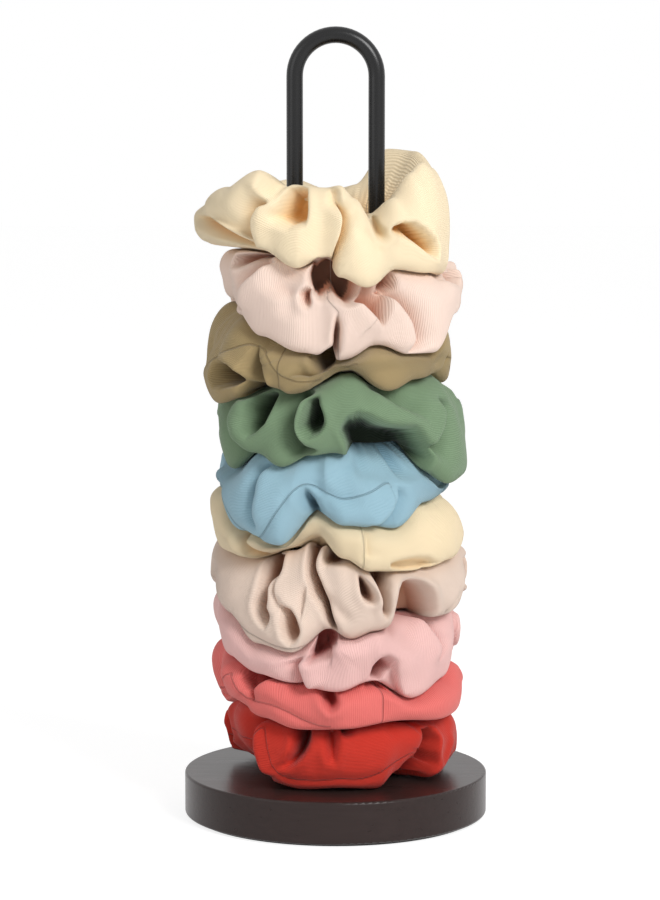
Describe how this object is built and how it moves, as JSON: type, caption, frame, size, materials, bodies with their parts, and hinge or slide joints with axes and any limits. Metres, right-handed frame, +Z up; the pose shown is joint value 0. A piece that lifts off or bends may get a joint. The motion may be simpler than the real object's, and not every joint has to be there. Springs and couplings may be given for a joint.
{
  "type": "hair tie holder",
  "caption": "Upright wire hoop on a round wooden base, with a pile of gathered fabric hair ties threaded over the hoop.",
  "frame": {"origin": "on the surface that the stand rests on, under the middle of the round base", "axes": "+Z up along the hoop's legs, +X to the right along the plane of the hoop, the pictured front towards -Y"},
  "size_m": [0.13, 0.13, 0.337],
  "materials": {
    "base_wood": "satin",
    "rod_paint": "satin",
    "screw_steel": "satin",
    "pad_foam": "matte",
    "elastic": "matte",
    "cloth_cream": "matte",
    "cloth_blush": "matte",
    "cloth_khaki": "matte",
    "cloth_green": "matte",
    "cloth_blue": "matte",
    "cloth_nude": "matte",
    "cloth_pink": "matte",
    "cloth_coral": "matte",
    "cloth_red": "matte"
  },
  "bodies": {
    "stand": {"base_disc": "base_wood", "hoop_rod": "rod_paint", "hoop_screws": "screw_steel", "screw_washers": "screw_steel", "base_pad": "pad_foam"},
    "tie_01": {"tie_01_sleeve": "cloth_cream", "tie_01_elastic": "elastic"},
    "tie_02": {"tie_02_sleeve": "cloth_blush", "tie_02_elastic": "elastic"},
    "tie_03": {"tie_03_sleeve": "cloth_khaki", "tie_03_elastic": "elastic"},
    "tie_04": {"tie_04_sleeve": "cloth_green", "tie_04_elastic": "elastic"},
    "tie_05": {"tie_05_sleeve": "cloth_blue", "tie_05_elastic": "elastic"},
    "tie_06": {"tie_06_sleeve": "cloth_cream", "tie_06_elastic": "elastic"},
    "tie_07": {"tie_07_sleeve": "cloth_nude", "tie_07_elastic": "elastic"},
    "tie_08": {"tie_08_sleeve": "cloth_pink", "tie_08_elastic": "elastic"},
    "tie_09": {"tie_09_sleeve": "cloth_coral", "tie_09_elastic": "elastic"},
    "tie_10": {"tie_10_sleeve": "cloth_red", "tie_10_elastic": "elastic"}
  },
  "joints": [
    {"name": "lift_01", "type": "slide", "parent": "tie_02", "child": "tie_01", "axis": [0, 0, 1], "range_m": [0, 0.12]},
    {"name": "lift_02", "type": "slide", "parent": "tie_03", "child": "tie_02", "axis": [0, 0, 1], "range_m": [0, 0.145]},
    {"name": "lift_03", "type": "slide", "parent": "tie_04", "child": "tie_03", "axis": [0, 0, 1], "range_m": [0, 0.17]},
    {"name": "lift_04", "type": "slide", "parent": "tie_05", "child": "tie_04", "axis": [0, 0, 1], "range_m": [0, 0.2]},
    {"name": "lift_05", "type": "slide", "parent": "tie_06", "child": "tie_05", "axis": [0, 0, 1], "range_m": [0, 0.225]},
    {"name": "lift_06", "type": "slide", "parent": "tie_07", "child": "tie_06", "axis": [0, 0, 1], "range_m": [0, 0.24]},
    {"name": "lift_07", "type": "slide", "parent": "tie_08", "child": "tie_07", "axis": [0, 0, 1], "range_m": [0, 0.27]},
    {"name": "lift_08", "type": "slide", "parent": "tie_09", "child": "tie_08", "axis": [0, 0, 1], "range_m": [0, 0.29]},
    {"name": "lift_09", "type": "slide", "parent": "tie_10", "child": "tie_09", "axis": [0, 0, 1], "range_m": [0, 0.305]},
    {"name": "lift_10", "type": "slide", "parent": "stand", "child": "tie_10", "axis": [0, 0, 1], "range_m": [0, 0.325]}
  ]
}
